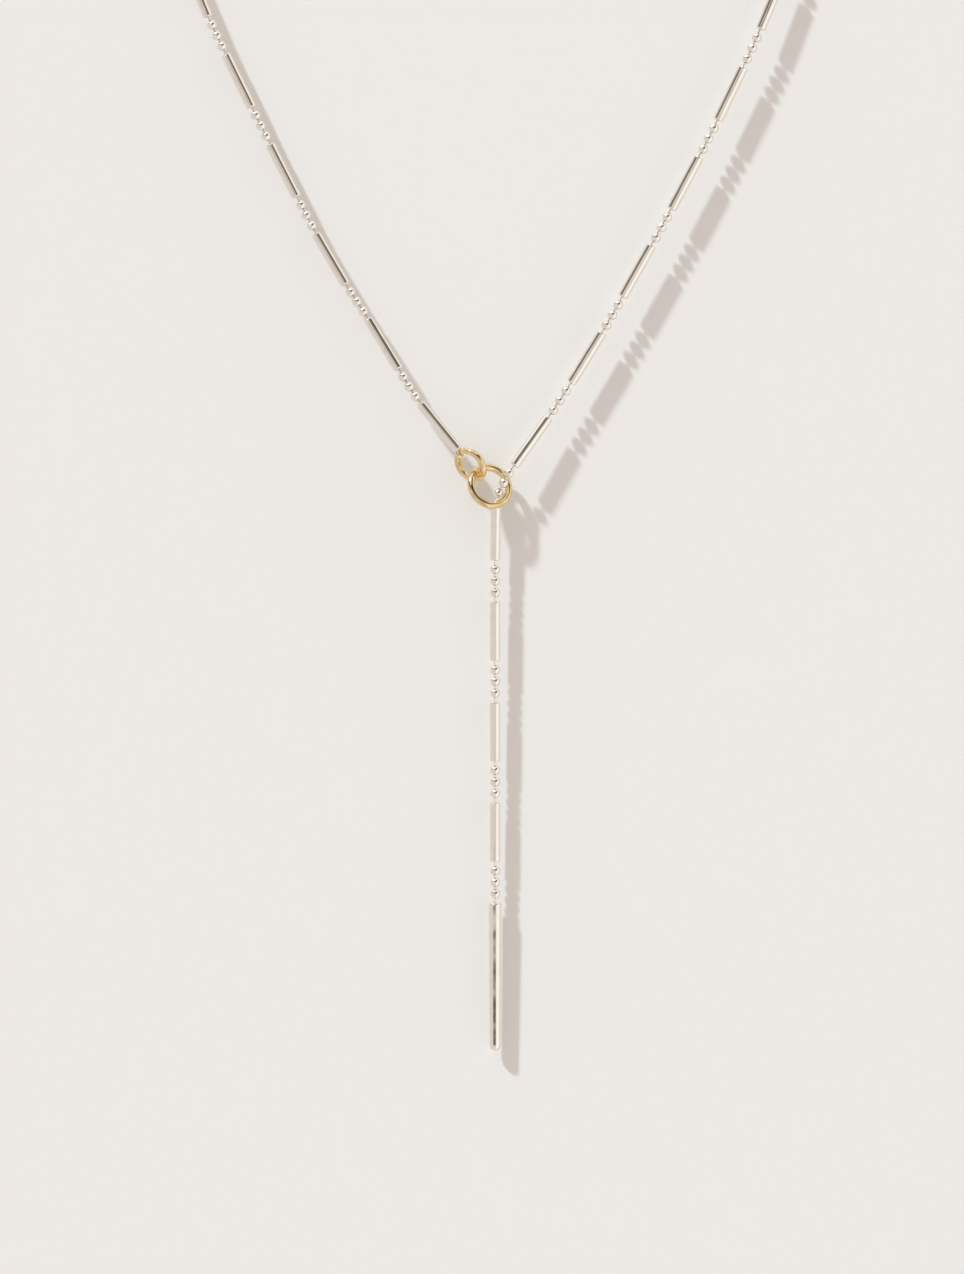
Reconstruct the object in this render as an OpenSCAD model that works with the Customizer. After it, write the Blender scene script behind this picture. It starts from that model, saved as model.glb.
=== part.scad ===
// Bar-and-ball chain worn as a lariat: one end holds a small ring that is linked
// to a larger ring, and the other end passes through the larger ring and hangs
// as a drop with a long round bar at its tip.
// Millimetres. +X to the right and +Y away from someone who looks at the front,
// +Z up. The origin is where the chain lies on the nape of the neck.

/* [Chain] */
// Length of a bar link
bar_len = 9.5; // [6:0.1:12]
// Diameter of a bar link
bar_d = 1.6; // [1.2:0.05:1.8]
// Bevel round the ends of a bar link
bar_bevel = 0.18; // [0.05:0.01:0.2]
// Diameter of a ball
ball_d = 1.6; // [1.2:0.05:1.8]
// Balls between two bar links
ball_count = 3; // [1:1:4]
// Bare wire between two balls
ball_gap = 0.26; // [0.2:0.01:0.8]
// Bare wire between a bar link and the ball next to it
end_gap = 0.63; // [0.5:0.01:1.5]
// Diameter of the wire that joins the links
wire_d = 0.4; // [0.3:0.02:0.44]
// Clearance all round the wire in a drilled link
bore_clearance = 0.13; // [0.12:0.01:0.16]

/* [Rings] */
// Outside diameter of the large ring
large_od = 7.7; // [6.8:0.1:9]
// Wire diameter of the large ring
large_wire_d = 1.2; // [0.7:0.05:1.3]
// Outside diameter of the small ring
small_od = 6.1; // [5:0.05:7.5]
// Wire diameter of the small ring
small_wire_d = 1.05; // [0.7:0.05:1.2]
// Turn of the large ring about the line through both rings, upper right side back
large_turn = 31; // [20:1:40]
// Turn of the small ring about the line of the first bar link, upper right side forward
small_turn = 48; // [35:1:65]
// Clearance between metal parts that hang in each other
ring_clearance = 0.08; // [0.06:0.01:0.15]

/* [End loop] */
// Wire diameter of the loop soldered to the first bar link
loop_wire_d = 0.32; // [0.3:0.02:0.5]
// Gap between the small ring's wire and the end of that bar link
end_bar_gap = 0.14; // [0.08:0.01:0.18]
// Depth of the blind bore for the wire at its other end
blind_depth = 2; // [1:0.1:4]

/* [Drop] */
// Bar links in the drop below the rings
drop_bar_count = 4; // [1:1:6]
// Length of the long bar at the tip
pendant_len = 23.7; // [15:0.1:40]
// Diameter of the long bar at its top
pendant_d = 2; // [1.8:0.05:3]
// Diameter of the long bar at its domed foot
pendant_foot_d = 1.8; // [1.4:0.05:3]
// Bevel round the top of the long bar
pendant_bevel = 0.15; // [0.05:0.01:0.2]
// Thickness of the wall over the long bar's cavity
top_wall = 0.2; // [0.15:0.01:0.25]
// Swing of the long bar to either side that its hole and cavity leave room for
swing = 20; // [10:1:20]
// Overhang of the wire's head past the hole in that wall
head_overhang = 0.07; // [0.05:0.01:0.1]
// Thickness of that head
head_t = 0.15; // [0.1:0.01:0.2]
// Free wire between that wall and the head
head_free = 0.3; // [0.2:0.01:0.35]

/* [Hidden] */

SILVER = "#d8cfc6";
GOLD = "#d9b877";
ROUND_FN = 32;
WIRE_SIDES = 6;
STEPS = 12; // straight pieces that stand for one curve between two route points
CUT = 0.02; // how far a cutting body reaches past the face that it cuts

// Centre of the large ring, and the slopes of the line from it to the small ring's
// centre and of the first bar link
ring_centre = [0.46, -90.7, -149.9];
link_slope = 132.4;
bar_slope = 129;
// Where the strand crosses the large ring's rim in front, and where the drop hangs
// behind it, as slopes seen from the ring's centre, and how far outside the middle line
// of the ring's wire the strand crosses
cross_slope = 29;
drop_slope = -78;
cross_out = 0.1;
// Slope by which the drop leans back from upright
drop_lean = 0.65;

// The route of the chain from the left of the rings round the neck to their right.
// Its right front run is in one upright plane, its left one starts level with the rings
// and lies a little farther back, and its middle point lies on the nape.
ROUTE = [
    [-16.5, -89.7, -127], [-25.1, -89, -113.5], [-32.6, -89, -99.3],
    [-39.9, -89.2, -84.6], [-45.2, -89.2, -73.4], [-50, -88.3, -61],
    [-54.5, -82.7, -45.5], [-55.5, -71, -31], [-52.5, -54, -18.5],
    [-44, -31.5, -8.5], [-29.5, -12.5, -2.5], [-14.5, -2.5, -0.3],
    [0, 0, 0],
    [14.5, -2.5, -0.3], [29.5, -12.5, -2.5], [44, -31.5, -8.5],
    [52.5, -54, -18.5], [55.5, -71, -31], [54.5, -83, -45.5],
    [50, -89, -61], [45.2, -90, -73.4], [39.2, -90, -86.7],
    [31.8, -90, -101.3], [24, -90, -115.5], [16.1, -90, -129.2],
    [7.2, -90.3, -142.8]
];

wire_r = wire_d / 2;
bore_d = wire_d + 2 * bore_clearance;
ball_pitch = ball_d + ball_gap;
link_gap = 2 * end_gap + ball_d + (ball_count - 1) * ball_pitch;
pattern = bar_len + link_gap;

large_r = (large_od - large_wire_d) / 2;
small_r = (small_od - small_wire_d) / 2;
ring_spacing = large_r + small_r - (large_wire_d + small_wire_d) / 2 - ring_clearance;
link_dir = [cos(link_slope), 0, sin(link_slope)];
link_across = [-sin(link_slope), 0, cos(link_slope)];
small_centre = ring_centre + ring_spacing * link_dir;

// The loop hangs on the small ring's far side and is pulled away from the rings. Its
// outer side lies inside the end of the first bar link. Both places are measured from
// the small ring's centre.
bar_dir = [cos(bar_slope), 0, sin(bar_slope)];
loop_inner_r = small_wire_d / 2 + 2 * ring_clearance;
loop_r = loop_inner_r + loop_wire_d / 2;
loop_at = small_r + ring_clearance;
end_bar_at = small_r + small_wire_d / 2 + end_bar_gap;
strand_start = small_centre + (end_bar_at + bar_len) * bar_dir;

// Point on the middle line of the large ring's wire, at a slope seen from its centre
function rim(slope) = let (
    a = slope - link_slope,
    across = cos(large_turn) * link_across - [0, sin(large_turn), 0]
) ring_centre + large_r * (cos(a) * link_dir + sin(a) * across);

// The strand lies in front of the wire there, and then behind it, square to its slant.
// Four clearances there also keep the last ball inside the ring clear of it.
over_rim = rim(cross_slope) + cross_out * [cos(cross_slope), 0, sin(cross_slope)]
    - [0, (large_wire_d + ball_d) / 2 / cos(large_turn) + ring_clearance, 0];
under_rim = rim(drop_slope)
    + [0, (large_wire_d + bar_d) / 2 / cos(large_turn) + 4 * ring_clearance, 0];
drop_len = (drop_bar_count + 1) * pattern + pendant_len;
drop_dir = [0, sin(drop_lean), -cos(drop_lean)];

// Unit vector
function unit(v) = v / norm(v);

// Point on the curve from p to q that leaves along a and arrives along b
function curve_point(p, q, a, b, t) = let (d = norm(q - p))
    (2 * t * t * t - 3 * t * t + 1) * p + (t * t * t - 2 * t * t + t) * d * a
    + (3 * t * t - 2 * t * t * t) * q + (t * t * t - t * t) * d * b;

// Smooth line through points, with its direction given at both ends
function smooth_line(points, first_dir, last_dir) = let (
    n = len(points),
    dirs = [for (i = [0 : n - 1])
        i == 0 ? first_dir : i == n - 1 ? last_dir : unit(points[i + 1] - points[i - 1])]
) [
    for (i = [0 : n - 2], k = [0 : STEPS - 1])
        curve_point(points[i], points[i + 1], dirs[i], dirs[i + 1], k / STEPS),
    points[n - 1]
];

// Length along a line up to each of its points
function lengths(line, i = 0, sum = 0) = i == len(line) - 1
    ? [sum]
    : concat([sum], lengths(line, i + 1, sum + norm(line[i + 1] - line[i])));

strand = smooth_line(
    concat([strand_start], ROUTE, [
        over_rim, under_rim, under_rim + bar_len * drop_dir, under_rim + drop_len * drop_dir
    ]),
    bar_dir, drop_dir
);
strand_s = lengths(strand);
x_by_s = [for (i = [0 : len(strand) - 1]) [strand_s[i], strand[i][0]]];
y_by_s = [for (i = [0 : len(strand) - 1]) [strand_s[i], strand[i][1]]];
z_by_s = [for (i = [0 : len(strand) - 1]) [strand_s[i], strand[i][2]]];

// Point at a length along the strand
function along(s) = [lookup(s, x_by_s), lookup(s, y_by_s), lookup(s, z_by_s)];

// The rim is crossed midway between the first ball past the last neck bar and the
// next one. The neck holds a whole number of bars, and their gaps take up the rest.
cross_s = strand_s[(len(ROUTE) + 1) * STEPS];
cross_lead = end_gap + ball_d / 2 + (ball_count > 1 ? ball_pitch / 2 : 0);
neck_bar_count = round((cross_s - cross_lead) / pattern);
neck_pattern = (cross_s - cross_lead) / neck_bar_count;
neck_gap = neck_pattern - bar_len;
drop_s = neck_bar_count * neck_pattern;

// Where bars start and groups of balls have their middles, as lengths
neck_bar_s = [for (i = [1 : neck_bar_count]) i * neck_pattern - bar_len];
neck_group_s = [for (i = [0 : neck_bar_count - 1]) i * neck_pattern + neck_gap / 2];
drop_bar_s = [for (i = [1 : drop_bar_count]) drop_s + i * pattern - bar_len];
drop_group_s = [for (i = [0 : drop_bar_count]) drop_s + i * pattern + link_gap / 2];
pendant_top = along(drop_s + drop_bar_count * pattern + link_gap);

// Lengths at which a group with its middle at s has its balls
function ball_s(s) = [for (i = [0 : ball_count - 1]) s + (i - (ball_count - 1) / 2) * ball_pitch];
function all_balls(groups) = [for (s = groups) for (b = ball_s(s)) b];

neck_ball_s = all_balls(neck_group_s);
drop_ball_s = all_balls(drop_group_s);

// Both ends of the wire's straight run through a bar that starts at s
function bar_ends(s) = let (
    a = along(s), b = along(s + bar_len), mid = (a + b) / 2, half = unit(b - a) * bar_len / 2
) [mid - half, mid + half];

// The wire's corners: from the blind bore through balls and bars to the pendant
wire_start = strand_start - (blind_depth - bore_clearance) * bar_dir;
wire_points = concat(
    [wire_start, strand_start],
    [for (i = [0 : neck_bar_count - 1])
        each concat([for (s = ball_s(neck_group_s[i])) along(s)], bar_ends(neck_bar_s[i]))],
    [for (i = [0 : drop_bar_count - 1])
        each concat([for (s = ball_s(drop_group_s[i])) along(s)], bar_ends(drop_bar_s[i]))],
    [for (s = ball_s(drop_group_s[drop_bar_count])) along(s)]
);

// The pivot is in the middle of the wall over the cavity. The hole, the head and the
// cavity clear each other when the pendant swings about it.
pivot = pendant_top + top_wall / 2 * drop_dir;
hole_r = (wire_r + ring_clearance + top_wall / 2 * sin(swing)) / cos(swing);
head_r = hole_r + head_overhang;
head_foot = top_wall / 2 + head_free + head_t; // from the pivot to the head's lower face
cavity_r = head_r * cos(swing) + head_foot * sin(swing) + ring_clearance;
cavity_depth = head_foot * cos(swing) + head_r * sin(swing) + ring_clearance;

// The wire's outline from the pivot down: a depth and a radius at each step
head_profile = [
    [0, wire_r], [head_foot - head_t - CUT, wire_r], [head_foot - head_t, head_r],
    [head_foot, head_r]
];

// Turns +Z to a direction
module aim(direction) {
    d = unit(direction);
    rotate([0, acos(d[2]), atan2(d[1], d[0])]) children();
}

// Bar link from a to b with a bevel round both ends
module bar(a, b, bore) {
    length = norm(b - a);
    translate(a) aim(b - a) rotate_extrude($fn = ROUND_FN) polygon([
        [bore / 2, 0], [bar_d / 2 - bar_bevel, 0], [bar_d / 2, bar_bevel],
        [bar_d / 2, length - bar_bevel], [bar_d / 2 - bar_bevel, length], [bore / 2, length]
    ]);
}

// Ball drilled along a direction
module ball(at, direction) {
    translate(at) aim(direction) difference() {
        sphere(d = ball_d, $fn = ROUND_FN);
        cylinder(d = bore_d, h = ball_d + 2 * CUT, center = true, $fn = ROUND_FN);
    }
}

module bars(starts) {
    for (s = starts) bar(bar_ends(s)[0], bar_ends(s)[1], bore_d);
}

module balls(places) {
    reach = ball_pitch / 2;
    for (s = places) ball(along(s), along(s + reach) - along(s - reach));
}

// Sets its children at a point, with +X along a slope
module sloped(at, slope) {
    translate(at) rotate([0, -slope, 0]) children();
}

// Ring of round wire, in the XZ plane
module wire_ring(r, d) {
    rotate([90, 0, 0]) rotate_extrude($fn = 2 * ROUND_FN) translate([r, 0]) circle(d = d, $fn = ROUND_FN);
}

module neck_bars() {
    color(SILVER) bars(neck_bar_s);
}

module neck_balls() {
    color(SILVER) balls(neck_ball_s);
}

module drop_bars() {
    color(SILVER) bars(drop_bar_s);
}

module drop_balls() {
    color(SILVER) balls(drop_ball_s);
}

module large_ring() {
    color(GOLD) sloped(ring_centre, link_slope)
        rotate([large_turn, 0, 0]) wire_ring(large_r, large_wire_d);
}

module small_ring() {
    color(GOLD) sloped(small_centre, bar_slope)
        rotate([-small_turn, 0, 0]) wire_ring(small_r, small_wire_d);
}

// First bar link, with a soldered loop round the small ring's wire
module end_bar() {
    color(SILVER) sloped(small_centre, bar_slope) union() {
        difference() {
            bar([end_bar_at, 0, 0], [end_bar_at + bar_len, 0, 0], 0);
            translate([end_bar_at + bar_len - blind_depth, 0, 0])
                rotate([0, 90, 0]) cylinder(d = bore_d, h = blind_depth + CUT, $fn = ROUND_FN);
        }
        translate([loop_at, 0, 0]) rotate([90 - small_turn, 0, 0]) wire_ring(loop_r, loop_wire_d);
    }
}

// Long round bar that narrows a little to a domed foot, hollow at the top for the wire's head
module pendant_bar() {
    top_r = pendant_d / 2;
    foot_r = pendant_foot_d / 2;
    foot = foot_r - pendant_len;
    color(SILVER) translate(pendant_top) rotate([drop_lean, 0, 0]) difference() {
        union() {
            translate([0, 0, foot]) sphere(r = foot_r, $fn = 2 * ROUND_FN);
            rotate_extrude($fn = 2 * ROUND_FN) polygon([
                [0, foot], [foot_r, foot], [top_r, -pendant_bevel], [top_r - pendant_bevel, 0], [0, 0]
            ]);
        }
        translate([0, 0, -top_wall - cavity_depth])
            cylinder(r = cavity_r, h = cavity_depth, $fn = ROUND_FN);
        translate([0, 0, -top_wall - CUT])
            cylinder(r = hole_r, h = top_wall + 2 * CUT, $fn = ROUND_FN);
    }
}

// Wire through every link, in straight runs, with a head inside the pendant
module chain_wire() {
    head_points = [for (p = head_profile) pivot + p[0] * drop_dir];
    points = concat(wire_points, head_points);
    radii = concat([for (p = wire_points) wire_r], [for (p = head_profile) p[1]]);
    n = len(points);
    // Outwards from an upright line through the neck, to which every run lies across
    outward = [for (p = points) [p[0], p[1] - ring_centre[1] / 2, 0]];
    dirs = [
        bar_dir,
        for (i = [1 : len(wire_points) - 1])
            unit(unit(points[i] - points[i - 1]) + unit(points[i + 1] - points[i])),
        for (p = head_points) drop_dir
    ];
    side = [for (i = [0 : n - 1]) unit(outward[i] - (outward[i] * dirs[i]) * dirs[i])];
    ring_points = [for (i = [0 : n - 1], k = [0 : WIRE_SIDES - 1]) let (a = 360 * k / WIRE_SIDES)
        points[i] + radii[i] * (cos(a) * side[i] + sin(a) * cross(dirs[i], side[i]))];
    walls = [for (i = [0 : n - 2], k = [0 : WIRE_SIDES - 1]) let (m = (k + 1) % WIRE_SIDES)
        [i * WIRE_SIDES + k, (i + 1) * WIRE_SIDES + k, (i + 1) * WIRE_SIDES + m, i * WIRE_SIDES + m]];
    ends = [[for (k = [0 : WIRE_SIDES - 1]) k],
        [for (k = [WIRE_SIDES - 1 : -1 : 0]) (n - 1) * WIRE_SIDES + k]];
    color(SILVER) polyhedron(ring_points, concat(walls, ends), convexity = 10);
}

neck_bars();
neck_balls();
end_bar();
small_ring();
large_ring();
drop_bars();
drop_balls();
pendant_bar();
chain_wire();
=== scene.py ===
import math

import bmesh
import bpy
import numpy as np
from mathutils import Matrix, Vector


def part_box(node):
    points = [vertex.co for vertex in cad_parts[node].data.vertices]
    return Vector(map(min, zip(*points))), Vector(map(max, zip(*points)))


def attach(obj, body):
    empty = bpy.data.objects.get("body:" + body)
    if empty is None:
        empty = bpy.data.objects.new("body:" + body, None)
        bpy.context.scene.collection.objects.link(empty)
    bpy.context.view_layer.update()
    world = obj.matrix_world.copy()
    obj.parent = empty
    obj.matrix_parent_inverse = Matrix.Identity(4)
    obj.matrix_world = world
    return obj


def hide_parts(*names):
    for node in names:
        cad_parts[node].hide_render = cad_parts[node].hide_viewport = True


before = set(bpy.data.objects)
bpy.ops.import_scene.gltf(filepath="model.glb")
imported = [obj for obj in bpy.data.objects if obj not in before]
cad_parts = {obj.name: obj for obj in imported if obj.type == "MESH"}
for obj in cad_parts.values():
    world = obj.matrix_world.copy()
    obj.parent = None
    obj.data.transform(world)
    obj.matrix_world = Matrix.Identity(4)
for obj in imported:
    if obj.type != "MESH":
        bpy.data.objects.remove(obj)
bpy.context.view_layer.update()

# Millimetres to metres
MM = 0.001

# The chain's links: drilled bars and balls on a round wire
BAR_R = 0.8 * MM
BAR_SHOULDER = 0.24 * MM
BALL_R = 0.8 * MM
BORE_R = 0.33 * MM
WIRE_R = 0.2 * MM
BLIND_DEPTH = 2 * MM

# The long bar at the tip, which is hollow at the top for the wire's head
PENDANT_TOP_R = 1 * MM
PENDANT_FOOT_R = 0.9 * MM
PENDANT_SHOULDER = 0.3 * MM
TOP_WALL = 0.2 * MM
HOLE_R = 0.334 * MM
CAVITY_R = 0.648 * MM
CAVITY_DEPTH = 0.735 * MM
HEAD_R = 0.404 * MM
# How far the head's top and foot lie below the middle of the top wall, and the height of the
# step from the wire to the head
HEAD_TOP = 0.4 * MM
HEAD_FOOT = 0.55 * MM
HEAD_STEP = 0.02 * MM

# The rings of round gilt wire, and the loop that ties the first bar to the small one
LARGE_RING_R = 3.25 * MM
LARGE_WIRE_R = 0.6 * MM
SMALL_RING_R = 2.525 * MM
SMALL_WIRE_R = 0.525 * MM
LOOP_R = 0.845 * MM
LOOP_WIRE_R = 0.16 * MM
LOOP_SLACK = 0.08 * MM

# Sides of round shapes
BAR_SIDES = 32
BALL_SIDES = 24
BALL_STEPS = 11
WIRE_SIDES = 12
RING_SIDES = 32
RING_STEPS = 112
LOOP_SIDES = 16
SHOULDER_STEPS = 4
DOME_STEPS = 12

# Corners nearer to each other than this are one, and edges that turn more than this stay sharp
WELD = 0.001 * MM
SHARP_TURN = math.radians(40)

# Width of the metal's marks and depth of those that bend its reflections
RIPPLE_SIZE = 4.5 * MM
RIPPLE_DEPTH = 0.05 * MM
SKIN_SIZE = 1.5 * MM
GILT_SKIN_SIZE = 1.2 * MM
GILT_SKIN_DEPTH = 0.006 * MM
# Step between the marks of one link and the next
GRAIN_STEP = 31 * MM

# The photo's frame at the plane of the front chain, and the camera's millimetres
VIEW_HEIGHT = 203.84 * MM
VIEW_MIDDLE = Vector((-0.8, -90, -174)) * MM
LENS = 200
SENSOR = 36

# The card close behind the front chain, and the floor far below it, which reaches 6 m each way
CARD_Y = -86.56 * MM
CARD_TOP = -69.2 * MM
CARD_HALF_WIDTH = 120 * MM
FLOOR_Z = -292 * MM
FLOOR_REACH = 6

# The key light comes from the upper left, in front of the chain
TO_KEY = Vector((-0.53, -0.45, 0.73))
KEY_COLOUR = "#F0FAFF"
KEY_ENERGY = 1.92
KEY_WIDTH = math.radians(4)

# The studio is a dome of tones, which the metal mirrors. A place on it has x, y and z from -1 to
# 1, a height from 0 at the bottom to 1 at the top, and a turn from 0 at the back by 0.25 on the
# left, 0.5 in front and 0.75 on the right to 1. A blur is the height over a foot in which the
# tone fades in. The tones of the walls go by turn.
DOME_STRENGTH = 1.03
SEEN_TONE = "#EEEAE6"
WALL_TONES = [
    (0.0, "#DDD5CF", 1), (0.3, "#D8CEC8", 1), (0.555, "#D8CEC8", 1), (0.58, "#FFFAF3", 1),
    (0.65, "#FFF6EC", 1), (0.72, "#F2EBE5", 1), (0.79, "#E2DACF", 1), (0.86, "#D6CDC3", 1)
]
# The dark band under the ceiling, by height. Its foot slants down from the left to the middle.
BAND_TONES = [(0.5, "#7A7266", 1), (0.73, "#7A7266", 1), (0.78, "#332C20", 1)]
BAND_SLANT_X = (-0.35, 0.02)
BAND_FOOT_Z = (0.31, 0.06)
BAND_BLUR = (-0.02, 0.06)
# Where the band fades out on the right, and how far in front of the middle it has faded in
BAND_END_X = (0.64, 0.74)
BAND_FRONT = (0, 0.15)
# The ceiling's foot, which rises from the middle to the right
CEILING_TONE = "#F6F2EE"
CEILING_SLANT_X = (-0.1, 0.35)
CEILING_FOOT_Z = (0.56, 0.74)
CEILING_BLUR = (-0.03, 0.06)
# A low dark strip in front, just below the horizon, as alphas by height and by turn
STRIP_TONE = "#50463B"
STRIP_BY_HEIGHT = [
    (0.435, "#000000", 0), (0.445, "#000000", 1), (0.4615, "#000000", 1), (0.4665, "#000000", 0)
]
STRIP_BY_TURN = [
    (0.375, "#000000", 0), (0.395, "#000000", 1), (0.52, "#000000", 1), (0.54, "#000000", 0)
]


def vector(point):
    return Vector([float(c) for c in point])


def loose_parts(node):
    """The corners of each loose part of a CAD node."""
    bm = bmesh.new()
    bm.from_mesh(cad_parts[node].data)
    bmesh.ops.remove_doubles(bm, verts=bm.verts, dist=WELD)
    parts, seen = [], set()
    for first in bm.verts:
        if first in seen:
            continue
        part, front = [], [first]
        seen.add(first)
        while front:
            vert = front.pop()
            part.append(vert.co[:])
            for edge in vert.link_edges:
                other = edge.other_vert(vert)
                if other not in seen:
                    seen.add(other)
                    front.append(other)
        parts.append(np.array(part))
    bm.free()
    return parts


def long_ends(points):
    """Both ends of a straight bar's middle line."""
    middle = points.mean(axis=0)
    axis = np.linalg.svd(points - middle, full_matrices=False)[2][0]
    reach = (points - middle) @ axis
    return vector(middle + axis * reach.min()), vector(middle + axis * reach.max())


def flat_normal(node):
    """The direction in which a ring reaches least."""
    points = np.array([v.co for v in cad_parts[node].data.vertices])
    return vector(np.linalg.svd(points - points.mean(axis=0), full_matrices=False)[2][2])


def box_middle(node):
    low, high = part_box(node)
    return (low + high) / 2


def chain_links(start):
    """The links as the wire runs through them from start on, each as its node and its points:
    a ball's middle, or a bar's two ends in that order."""
    left = [(node, [vector((p.min(axis=0) + p.max(axis=0)) / 2)])
            for node in ("neck_balls", "drop_balls") for p in loose_parts(node)]
    left += [(node, list(long_ends(p)))
             for node in ("neck_bars", "drop_bars") for p in loose_parts(node)]
    links, here = [], start
    while left:
        node, points = min(left, key=lambda link: min((p - here).length for p in link[1]))
        left.remove((node, points))
        if (points[-1] - here).length < (points[0] - here).length:
            points = points[::-1]
        links.append((node, points))
        here = points[-1]
    return links


def aimed(at, direction):
    """The matrix that moves a shape to a point and turns its +Z to a direction."""
    return Matrix.Translation(at) @ direction.to_track_quat("Z", "Y").to_matrix().to_4x4()


def spun(profile, closed, sides):
    """A shape spun round Z from a profile of radii and heights."""
    bm = bmesh.new()
    verts = [bm.verts.new((r, 0, z)) for r, z in profile]
    edges = [bm.edges.new(pair) for pair in zip(verts, verts[1:])]
    if closed:
        edges.append(bm.edges.new((verts[-1], verts[0])))
    bmesh.ops.spin(
        bm, geom=verts + edges, cent=(0, 0, 0), axis=(0, 0, 1), angle=math.tau,
        steps=sides, use_merge=True, use_duplicate=False
    )
    bmesh.ops.remove_doubles(bm, verts=bm.verts, dist=WELD)
    bmesh.ops.recalc_face_normals(bm, faces=bm.faces)
    return bm


def round_rims(bm, rims, width):
    """Rounds the edges that run round Z at the given radii and heights."""
    def on_rim(vert, rim):
        at = (math.hypot(vert.co.x, vert.co.y), vert.co.z)
        return all(abs(a - b) < WELD for a, b in zip(at, rim))
    edges = [e for e in bm.edges if any(all(on_rim(v, rim) for v in e.verts) for rim in rims)]
    bmesh.ops.bevel(
        bm, geom=edges, offset=width, offset_type="OFFSET", affect="EDGES",
        segments=SHOULDER_STEPS, profile=0.5, material=-1
    )


def mesh_of(bm, name):
    mesh = bpy.data.meshes.new(name)
    bm.to_mesh(mesh)
    bm.free()
    return mesh


def bar_shape(length):
    """Drilled bar along +Z with rounded shoulders."""
    bm = spun([(BORE_R, 0), (BAR_R, 0), (BAR_R, length), (BORE_R, length)], True, BAR_SIDES)
    round_rims(bm, [(BAR_R, 0), (BAR_R, length)], BAR_SHOULDER)
    return mesh_of(bm, "bar")


def ball_shape():
    """Drilled ball whose hole runs along Z."""
    edge = math.asin(BORE_R / BALL_R)
    turns = [edge + (math.pi - 2 * edge) * i / BALL_STEPS for i in range(BALL_STEPS + 1)]
    profile = [(BALL_R * math.sin(a), BALL_R * math.cos(a)) for a in turns]
    return mesh_of(spun(profile, True, BALL_SIDES), "ball")


def end_bar_shape(length):
    """Bar link with a closed foot and a blind hole at its top."""
    floor = length - BLIND_DEPTH
    bm = spun(
        [(0, 0), (BAR_R, 0), (BAR_R, length), (BORE_R, length), (BORE_R, floor), (0, floor)],
        False, BAR_SIDES
    )
    round_rims(bm, [(BAR_R, 0), (BAR_R, length)], BAR_SHOULDER)
    return mesh_of(bm, "end_bar")


def ring_shape(ring_r, wire_r, sides=RING_SIDES):
    """Ring of round wire, flat on XY."""
    bm = bmesh.new()
    upright = Matrix.Translation((ring_r, 0, 0)) @ Matrix.Rotation(math.pi / 2, 4, "X")
    made = bmesh.ops.create_circle(bm, radius=wire_r, segments=sides, matrix=upright)
    edges = list({e for v in made["verts"] for e in v.link_edges})
    bmesh.ops.spin(
        bm, geom=made["verts"] + edges, cent=(0, 0, 0), axis=(0, 0, 1), angle=math.tau,
        steps=RING_STEPS, use_merge=True, use_duplicate=False
    )
    bmesh.ops.recalc_face_normals(bm, faces=bm.faces)
    return mesh_of(bm, "ring")


def pendant_shape(length):
    """Round bar hung from its top at z = 0. It narrows a little to a domed foot, and has a
    cavity for the wire's head."""
    foot = PENDANT_FOOT_R - length
    quarter = [math.pi / 2 * i / DOME_STEPS for i in range(DOME_STEPS + 1)]
    dome = [(PENDANT_FOOT_R * math.sin(a), foot - PENDANT_FOOT_R * math.cos(a)) for a in quarter]
    bm = spun(dome + [
        (PENDANT_TOP_R, 0), (HOLE_R, 0), (HOLE_R, -TOP_WALL), (CAVITY_R, -TOP_WALL),
        (CAVITY_R, -TOP_WALL - CAVITY_DEPTH), (0, -TOP_WALL - CAVITY_DEPTH)
    ], False, 2 * BAR_SIDES)
    round_rims(bm, [(PENDANT_TOP_R, 0)], PENDANT_SHOULDER)
    return mesh_of(bm, "pendant")


def swept_wire(points, radii):
    """Round wire along a line of points, closed at both ends."""
    bm = bmesh.new()
    ways = [(b - a).normalized() for a, b in zip(points, points[1:])]
    ways = [ways[0]] + [(a + b).normalized() for a, b in zip(ways, ways[1:])] + [ways[-1]]
    turn = ways[0].to_track_quat("Z", "Y").to_matrix().to_4x4()
    place = Matrix.Translation(points[0]) @ turn
    bmesh.ops.create_circle(bm, cap_ends=True, radius=radii[0], segments=WIRE_SIDES, matrix=place)
    edges = list(bm.edges)
    for i in range(1, len(points)):
        turn = ways[i - 1].rotation_difference(ways[i]).to_matrix().to_4x4() @ turn
        scale = Matrix.Scale(radii[i] / radii[0], 4)
        new_place = Matrix.Translation(points[i]) @ turn @ scale
        made = bmesh.ops.extrude_edge_only(bm, edges=edges)["geom"]
        ring = [g for g in made if isinstance(g, bmesh.types.BMVert)]
        edges = [g for g in made
                 if isinstance(g, bmesh.types.BMEdge) and all(v in ring for v in g.verts)]
        bmesh.ops.transform(bm, matrix=new_place @ place.inverted(), verts=ring)
        place = new_place
    bmesh.ops.contextual_create(bm, geom=edges)
    bmesh.ops.recalc_face_normals(bm, faces=bm.faces)
    return mesh_of(bm, "wire")


def gathered(shape, places):
    """One mesh of a shape's copies. The attribute grain keeps each copy's own coordinates,
    with a step between copies, so that no two have the same marks."""
    bm = bmesh.new()
    grain = bm.verts.layers.float_vector.new("grain")
    for i, place in enumerate(places):
        count = len(bm.verts)
        bm.from_mesh(shape)
        bm.verts.ensure_lookup_table()
        new = bm.verts[count:]
        for vert in new:
            vert[grain] = vert.co + Vector((0, 0, GRAIN_STEP * (i + 1)))
        bmesh.ops.transform(bm, matrix=place, verts=new)
    return mesh_of(bm, shape.name)


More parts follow.
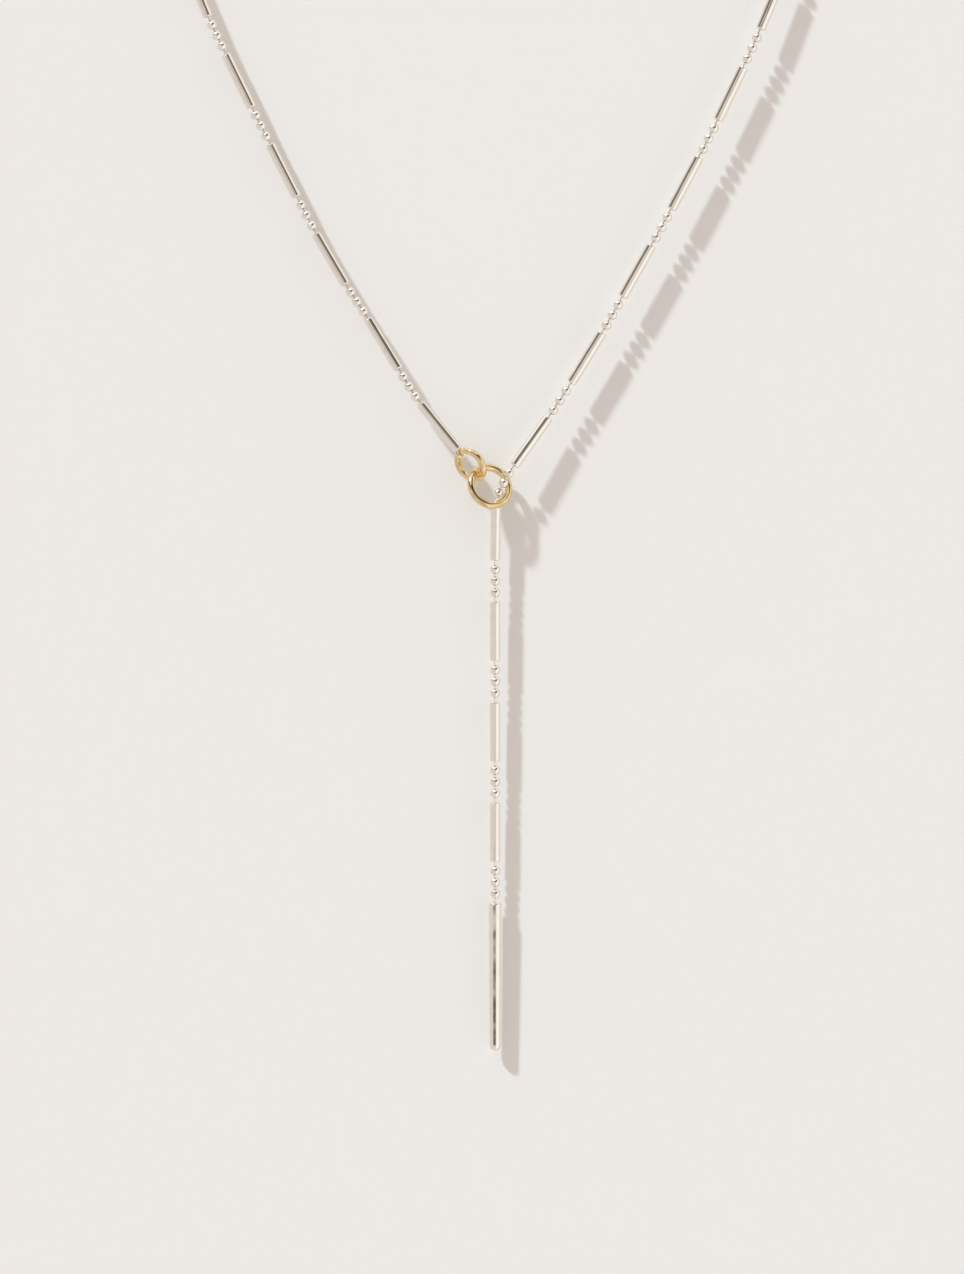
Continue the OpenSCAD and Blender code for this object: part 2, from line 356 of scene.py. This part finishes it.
def united(mesh, other):
    """The two meshes as one solid."""
    body, tool = bpy.data.objects.new("body", mesh), bpy.data.objects.new("tool", other)
    for obj in (body, tool):
        bpy.context.scene.collection.objects.link(obj)
    union = body.modifiers.new("union", "BOOLEAN")
    union.operation = "UNION"
    union.solver = "EXACT"
    union.object = tool
    bpy.context.view_layer.update()
    result = bpy.data.meshes.new_from_object(body.evaluated_get(bpy.context.evaluated_depsgraph_get()))
    for obj in (body, tool):
        bpy.data.objects.remove(obj)
    return result


def linear(colour):
    """An sRGB hex colour as linear RGBA."""
    shares = [int(colour[i:i + 2], 16) / 255 for i in (1, 3, 5)]
    return [c / 12.92 if c <= 0.04045 else ((c + 0.055) / 1.055) ** 2.4 for c in shares] + [1]


def add(tree, kind, inputs=None, **settings):
    """Adds a node with its settings. Each input is a value or the output that it is linked to."""
    node = tree.nodes.new(kind)
    for name, value in settings.items():
        setattr(node, name, value)
    for name, value in (inputs or {}).items():
        if isinstance(value, bpy.types.NodeSocket):
            tree.links.new(value, node.inputs[name])
        else:
            node.inputs[name].default_value = value
    return node


def set_stops(ramp, stops):
    """Gives a colour ramp its stops, each a place, a hex colour and an alpha."""
    elements = ramp.color_ramp.elements
    while len(elements) < len(stops):
        elements.new(0.5)
    for element, (place, colour, alpha) in zip(elements, stops):
        element.position = place
        element.color = linear(colour)[:3] + [alpha]


def new_material(name):
    material = bpy.data.materials.new(name)
    material.use_nodes = True
    material.node_tree.nodes.clear()
    return material, material.node_tree


def polished_silver():
    """Sterling silver, drawn to bar and wire and tumbled to a mirror: near white, a little
    warm, with soft ripples from the drawing and faint patches of duller polish."""
    material, tree = new_material("polished_sterling_silver")
    grain = add(tree, "ShaderNodeAttribute", attribute_name="grain").outputs["Vector"]
    ripple = add(tree, "ShaderNodeTexNoise", {"Vector": grain, "Scale": 1 / RIPPLE_SIZE, "Detail": 1})
    bump = add(tree, "ShaderNodeBump", {
        "Height": ripple.outputs["Fac"], "Strength": 1, "Distance": RIPPLE_DEPTH
    })
    skin = add(tree, "ShaderNodeTexNoise", {"Vector": grain, "Scale": 1 / SKIN_SIZE, "Detail": 3})
    tone = add(tree, "ShaderNodeValToRGB", {"Fac": skin.outputs["Fac"]})
    set_stops(tone, [(0.35, "#F9F6EE", 1), (0.65, "#FDFCF9", 1)])
    rough = add(tree, "ShaderNodeMapRange", {
        "Value": skin.outputs["Fac"], "From Min": 0.3, "From Max": 0.7, "To Min": 0.05, "To Max": 0.11
    })
    shader = add(tree, "ShaderNodeBsdfPrincipled", {
        "Base Color": tone.outputs["Color"], "Roughness": rough.outputs["Result"],
        "Normal": bump.outputs["Normal"], "Metallic": 1
    })
    add(tree, "ShaderNodeOutputMaterial", {"Surface": shader.outputs["BSDF"]})
    return material


def polished_gilt():
    """Silver wire under a bright coat of gold, polished by hand: a light yellow gold."""
    material, tree = new_material("polished_gold_plate")
    place = add(tree, "ShaderNodeTexCoord").outputs["Object"]
    skin = add(tree, "ShaderNodeTexNoise", {"Vector": place, "Scale": 1 / GILT_SKIN_SIZE, "Detail": 3})
    tone = add(tree, "ShaderNodeValToRGB", {"Fac": skin.outputs["Fac"]})
    set_stops(tone, [(0.35, "#E6CC98", 1), (0.65, "#F7E3B8", 1)])
    rough = add(tree, "ShaderNodeMapRange", {
        "Value": skin.outputs["Fac"], "From Min": 0.3, "From Max": 0.7, "To Min": 0.04, "To Max": 0.09
    })
    bump = add(tree, "ShaderNodeBump", {
        "Height": skin.outputs["Fac"], "Strength": 1, "Distance": GILT_SKIN_DEPTH
    })
    shader = add(tree, "ShaderNodeBsdfPrincipled", {
        "Base Color": tone.outputs["Color"], "Roughness": rough.outputs["Result"],
        "Normal": bump.outputs["Normal"], "Metallic": 1
    })
    add(tree, "ShaderNodeOutputMaterial", {"Surface": shader.outputs["BSDF"]})
    return material


def add_piece(name, mesh, material, slot, body, *nodes):
    """Puts a finished mesh into the scene in place of CAD nodes."""
    mesh.name = name
    mesh.materials.clear()
    mesh.materials.append(material)
    mesh.shade_smooth()
    mesh.set_sharp_from_angle(angle=SHARP_TURN)
    piece = bpy.data.objects.new(name, mesh)
    bpy.context.scene.collection.objects.link(piece)
    normals = piece.modifiers.new("normals", "WEIGHTED_NORMAL")
    normals.keep_sharp = True
    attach(piece, body)
    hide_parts(*nodes)
    return piece


def make_rings(gilt):
    for node, ring_r, wire_r in (
        ("large_ring", LARGE_RING_R, LARGE_WIRE_R), ("small_ring", SMALL_RING_R, SMALL_WIRE_R)
    ):
        ring = ring_shape(ring_r, wire_r)
        ring.transform(aimed(box_middle(node), flat_normal(node)))
        add_piece(node + "_gilt", ring, gilt, "gold", "necklace", node)


def end_bar_way():
    """The first bar's direction. It lies in an upright plane that faces the viewer and in the
    small ring's plane, and leads away from the large ring."""
    way = flat_normal("small_ring").cross(Vector((0, 1, 0))).normalized()
    if way.dot(box_middle("small_ring") - box_middle("large_ring")) < 0:
        way.negate()
    return way


def make_end_bar(silver, way, strand_start, bar_len):
    bar = gathered(end_bar_shape(bar_len), [aimed(strand_start - way * bar_len, way)])
    wire_way = flat_normal("small_ring").cross(way)
    loop_middle = box_middle("small_ring") + way * (SMALL_RING_R + LOOP_SLACK)
    loop = ring_shape(LOOP_R, LOOP_WIRE_R, sides=LOOP_SIDES)
    loop = gathered(loop, [aimed(loop_middle, wire_way)])
    add_piece("end_bar_with_loop", united(bar, loop), silver, "silver", "necklace", "end_bar")


def make_bars(silver, links, bar_len):
    bar = bar_shape(bar_len)
    for node in ("neck_bars", "drop_bars"):
        places = [aimed(p[0], p[1] - p[0]) for n, p in links if n == node]
        add_piece(node + "_tube", gathered(bar, places), silver, "silver", "necklace", node)


def make_balls(silver, links, strand_start, pendant_top):
    """Each ball is drilled along the line from the link before it to the link after it."""
    ball = ball_shape()
    for node in ("neck_balls", "drop_balls"):
        places = []
        for i, (n, points) in enumerate(links):
            if n == node:
                before = links[i - 1][1][-1] if i else strand_start
                after = links[i + 1][1][0] if i + 1 < len(links) else pendant_top
                places.append(aimed(points[0], after - before))
        add_piece(node + "_bright", gathered(ball, places), silver, "silver", "necklace", node)


def make_wire(silver, links, way, strand_start, pivot, down):
    """One wire from the blind hole of the first bar through every link to its head in the
    pendant."""
    corners = [strand_start - way * (BLIND_DEPTH - (BORE_R - WIRE_R)), strand_start]
    corners += [p for _, points in links for p in points] + [pivot]
    corners += [pivot + down * depth for depth in (HEAD_TOP - HEAD_STEP, HEAD_TOP, HEAD_FOOT)]
    radii = [WIRE_R] * (len(corners) - 2) + [HEAD_R] * 2
    wire = gathered(swept_wire(corners, radii), [Matrix.Identity(4)])
    add_piece("chain_wire_round", wire, silver, "silver", "necklace", "chain_wire")


def make_pendant(silver, top, foot):
    pendant = gathered(pendant_shape((top - foot).length), [aimed(top, top - foot)])
    add_piece("pendant_bar_bright", pendant, silver, "silver", "pendant", "pendant_bar")


def make_necklace(silver, gilt):
    small = box_middle("small_ring")
    way = end_bar_way()
    corners = [v.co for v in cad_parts["end_bar"].data.vertices]
    strand_start = small + way * max((corner - small).dot(way) for corner in corners)
    first_bar = long_ends(loose_parts("neck_bars")[0])
    bar_len = (first_bar[1] - first_bar[0]).length
    links = chain_links(strand_start)
    pendant_foot, pendant_top = sorted(long_ends(loose_parts("pendant_bar")[0]), key=lambda p: p.z)
    down = (pendant_foot - pendant_top).normalized()

    make_rings(gilt)
    make_end_bar(silver, way, strand_start, bar_len)
    make_bars(silver, links, bar_len)
    make_balls(silver, links, strand_start, pendant_top)
    make_wire(silver, links, way, strand_start, pendant_top + down * TOP_WALL / 2, down)
    make_pendant(silver, pendant_top, pendant_foot)


def panel(name, corners, material):
    """A flat panel of the set, which isn't part of the object."""
    bm = bmesh.new()
    bm.faces.new([bm.verts.new(c) for c in corners])
    obj = bpy.data.objects.new(name, mesh_of(bm, name))
    obj.data.materials.append(material)
    bpy.context.scene.collection.objects.link(obj)
    return obj


def pale_paper(name, colour, one_sided):
    """Matt paper. One-sided paper isn't seen from its back."""
    material, tree = new_material(name)
    paper = add(tree, "ShaderNodeBsdfDiffuse", {"Color": linear(colour)})
    surface = paper.outputs["BSDF"]
    if one_sided:
        clear = add(tree, "ShaderNodeBsdfTransparent")
        back = add(tree, "ShaderNodeNewGeometry").outputs["Backfacing"]
        one_side = add(tree, "ShaderNodeMixShader", {0: back, 1: surface, 2: clear.outputs["BSDF"]})
        surface = one_side.outputs["Shader"]
    add(tree, "ShaderNodeOutputMaterial", {"Surface": surface})
    return material


def make_set():
    side = CARD_HALF_WIDTH
    card = panel("backdrop_card", [
        (-side, CARD_Y, FLOOR_Z), (side, CARD_Y, FLOOR_Z),
        (side, CARD_Y, CARD_TOP), (-side, CARD_Y, CARD_TOP)
    ], pale_paper("matt_card", "#FBFAF9", True))
    card.visible_shadow = False
    card.visible_glossy = False
    reach = FLOOR_REACH
    floor = panel("floor", [
        (-reach, -reach, FLOOR_Z), (reach, -reach, FLOOR_Z),
        (reach, reach, FLOOR_Z), (-reach, reach, FLOOR_Z)
    ], pale_paper("matt_floor", "#DDDAD6", False))
    floor.visible_glossy = False
    floor.visible_diffuse = False


def make_key():
    """A small, far lamp for the crisp shadows."""
    lamp = bpy.data.lights.new("key_lamp", "SUN")
    lamp.energy = KEY_ENERGY
    lamp.angle = KEY_WIDTH
    lamp.color = linear(KEY_COLOUR)[:3]
    key = bpy.data.objects.new("key_lamp", lamp)
    key.rotation_mode = "QUATERNION"
    key.rotation_quaternion = TO_KEY.to_track_quat("Z", "Y")
    bpy.context.scene.collection.objects.link(key)


def band_share(tree, place, to_front):
    """How far a place on the dome lies in the dark band."""
    foot = add(tree, "ShaderNodeMapRange", {
        "Value": place["X"], "From Min": BAND_SLANT_X[0], "From Max": BAND_SLANT_X[1],
        "To Min": BAND_FOOT_Z[0], "To Max": BAND_FOOT_Z[1]
    })
    over = add(tree, "ShaderNodeMath", {
        0: place["Z"], 1: foot.outputs["Result"]
    }, operation="SUBTRACT")
    upper = add(tree, "ShaderNodeMapRange", {
        "Value": over.outputs[0], "From Min": BAND_BLUR[0], "From Max": BAND_BLUR[1]
    })
    left = add(tree, "ShaderNodeMapRange", {
        "Value": place["X"], "From Min": BAND_END_X[0], "From Max": BAND_END_X[1],
        "To Min": 1, "To Max": 0
    })
    front = add(tree, "ShaderNodeMapRange", {
        "Value": to_front, "From Min": BAND_FRONT[0], "From Max": BAND_FRONT[1]
    })
    share = add(tree, "ShaderNodeMath", {
        0: upper.outputs["Result"], 1: left.outputs["Result"]
    }, operation="MULTIPLY")
    share = add(tree, "ShaderNodeMath", {
        0: share.outputs[0], 1: front.outputs["Result"]
    }, operation="MULTIPLY")
    return share.outputs[0]


def ceiling_share(tree, place):
    """How far a place on the dome lies in the pale ceiling."""
    foot = add(tree, "ShaderNodeMapRange", {
        "Value": place["X"], "From Min": CEILING_SLANT_X[0], "From Max": CEILING_SLANT_X[1],
        "To Min": CEILING_FOOT_Z[0], "To Max": CEILING_FOOT_Z[1]
    })
    over = add(tree, "ShaderNodeMath", {
        0: place["Z"], 1: foot.outputs["Result"]
    }, operation="SUBTRACT")
    share = add(tree, "ShaderNodeMapRange", {
        "Value": over.outputs[0], "From Min": CEILING_BLUR[0], "From Max": CEILING_BLUR[1]
    })
    return share.outputs["Result"]


def strip_share(tree, height, turn):
    """How far a place on the dome lies in the low dark strip."""
    by_height = add(tree, "ShaderNodeValToRGB", {"Fac": height})
    set_stops(by_height, STRIP_BY_HEIGHT)
    by_turn = add(tree, "ShaderNodeValToRGB", {"Fac": turn})
    set_stops(by_turn, STRIP_BY_TURN)
    share = add(tree, "ShaderNodeMath", {
        0: by_height.outputs["Alpha"], 1: by_turn.outputs["Alpha"]
    }, operation="MULTIPLY")
    return share.outputs[0]


def dome_tone(tree):
    """The dome's colour: pale walls, with the dark band, the strip and the ceiling over them."""
    way = add(tree, "ShaderNodeTexCoord").outputs["Generated"]
    place = add(tree, "ShaderNodeSeparateXYZ", {"Vector": way}).outputs
    to_front = add(tree, "ShaderNodeMath", {0: place["Y"], 1: -1}, operation="MULTIPLY").outputs[0]
    angle = add(tree, "ShaderNodeMath", {0: place["X"], 1: to_front}, operation="ARCTAN2")
    turn = add(tree, "ShaderNodeMapRange", {
        "Value": angle.outputs[0], "From Min": -math.pi, "From Max": math.pi
    }).outputs["Result"]
    height = add(tree, "ShaderNodeMapRange", {
        "Value": place["Z"], "From Min": -1, "From Max": 1
    }).outputs["Result"]
    walls = add(tree, "ShaderNodeValToRGB", {"Fac": turn})
    set_stops(walls, WALL_TONES)
    band = add(tree, "ShaderNodeValToRGB", {"Fac": height})
    set_stops(band, BAND_TONES)
    tone = add(tree, "ShaderNodeMix", {
        0: band_share(tree, place, to_front), 6: walls.outputs["Color"], 7: band.outputs["Color"]
    }, data_type="RGBA")
    tone = add(tree, "ShaderNodeMix", {
        0: strip_share(tree, height, turn), 6: tone.outputs[2], 7: linear(STRIP_TONE)
    }, data_type="RGBA")
    tone = add(tree, "ShaderNodeMix", {
        0: ceiling_share(tree, place), 6: tone.outputs[2], 7: linear(CEILING_TONE)
    }, data_type="RGBA")
    return tone.outputs[2]


def make_studio():
    """A dome that lights the scene and that the metal mirrors. The viewer sees a plain one."""
    world = bpy.data.worlds.new("studio")
    bpy.context.scene.world = world
    world.use_nodes = True
    tree = world.node_tree
    tree.nodes.clear()
    dome = add(tree, "ShaderNodeBackground", {"Color": dome_tone(tree), "Strength": DOME_STRENGTH})
    plain = add(tree, "ShaderNodeBackground", {"Color": linear(SEEN_TONE)})
    seen = add(tree, "ShaderNodeLightPath").outputs["Is Camera Ray"]
    mixed = add(tree, "ShaderNodeMixShader", {0: seen, 1: dome.outputs[0], 2: plain.outputs[0]})
    add(tree, "ShaderNodeOutputWorld", {"Surface": mixed.outputs[0]})


def make_camera():
    """Looks straight at the front, with the photo's frame at the plane of the front chain."""
    data = bpy.data.cameras.new("camera")
    data.lens = LENS
    data.sensor_width = SENSOR
    camera = bpy.data.objects.new("camera", data)
    camera.location = VIEW_MIDDLE - Vector((0, VIEW_HEIGHT * LENS / SENSOR, 0))
    camera.rotation_euler = (math.pi / 2, 0, 0)
    bpy.context.scene.collection.objects.link(camera)
    bpy.context.scene.camera = camera


make_camera()
make_necklace(polished_silver(), polished_gilt())
make_set()
make_key()
make_studio()
bpy.context.scene.view_settings.view_transform = "Standard"
